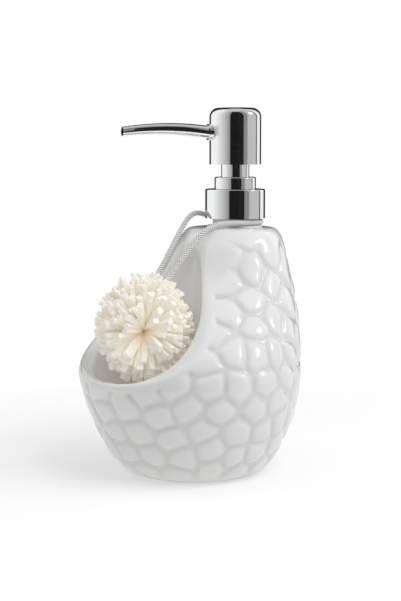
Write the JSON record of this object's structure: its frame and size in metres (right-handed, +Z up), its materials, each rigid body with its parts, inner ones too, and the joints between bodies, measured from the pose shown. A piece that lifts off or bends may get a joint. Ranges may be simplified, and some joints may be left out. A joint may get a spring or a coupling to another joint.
{
  "type": "soap pump caddy",
  "caption": "Glazed pebble-relief soap bottle with a chromed lotion pump and a scooped cup that holds a foam-strip scrubber tied to the neck by a cord.",
  "frame": {"origin": "middle of the bottle's standing face", "axes": "+Z up, -Y towards the cup, +X to the right of someone who looks along +Y at the cup"},
  "size_m": [0.12, 0.1239, 0.1958],
  "materials": {
    "glaze": "gloss",
    "chrome": "polished",
    "white_plastic": "satin",
    "clear_plastic": "translucent",
    "seal_rubber": "matte",
    "steel": "bright",
    "foam": "foam strips",
    "binding": "woven",
    "cord": "braided"
  },
  "bodies": {
    "bottle": {"ceramic_body": "glaze", "neck_insert": "white_plastic", "cord_loop": "cord"},
    "pump_unit": {"neck_gasket": "seal_rubber", "pump_cylinder": "white_plastic", "rod_guide": "white_plastic", "guide_bezel": "chrome", "ball_cage": "white_plastic", "dip_tube": "clear_plastic", "return_spring": "steel"},
    "closure": {"collar_shell": "chrome", "collar_liner": "white_plastic"},
    "inlet_valve": {"inlet_ball": "steel"},
    "piston_set": {"piston": "white_plastic", "piston_seal": "seal_rubber"},
    "pump_head": {"pump_rod": "white_plastic", "stem_sleeve": "chrome", "head_shell": "chrome", "head_core": "white_plastic", "spout": "chrome", "spout_bush": "chrome"},
    "outlet_valve": {"outlet_ball": "steel"},
    "scrubber": {"scrubber_head": "foam", "scrubber_tie": "binding"}
  },
  "joints": [
    {"name": "pump_rise", "type": "slide", "parent": "bottle", "child": "pump_unit", "axis": [0, 0, 1], "range_m": [0, 0.00529]},
    {"name": "collar_turn", "type": "hinge", "parent": "pump_unit", "child": "closure", "pos_m": [0, 0.0315, 0.1436], "axis": [0, 0, 1], "range_deg": [0, 450]},
    {"name": "pump_press", "type": "slide", "parent": "pump_unit", "child": "piston_set", "axis": [0, 0, -1], "range_m": [0, 0.013], "stiffness_N_per_m": 400, "springref_m": -0.012, "deforming": ["return_spring"]},
    {"name": "pump_turn", "type": "hinge", "parent": "piston_set", "child": "pump_head", "pos_m": [0, 0.0315, 0.165], "axis": [0, 0, 1], "continuous": true},
    {"name": "inlet_lift", "type": "slide", "parent": "pump_unit", "child": "inlet_valve", "axis": [0, 0, 1], "range_m": [0, 0.0015]},
    {"name": "outlet_lift", "type": "slide", "parent": "pump_head", "child": "outlet_valve", "axis": [0, 0, 1], "range_m": [0, 0.0011]},
    {"name": "scrubber_lift", "type": "slide", "parent": "bottle", "child": "scrubber", "axis": [0, -0.4226, 0.9063], "range_m": [0, 0.045], "deforming": ["cord_loop"]}
  ],
  "couplings": [
    {"joint": "collar_turn", "follows": "pump_rise", "rad_per_m": 1485.4}
  ]
}
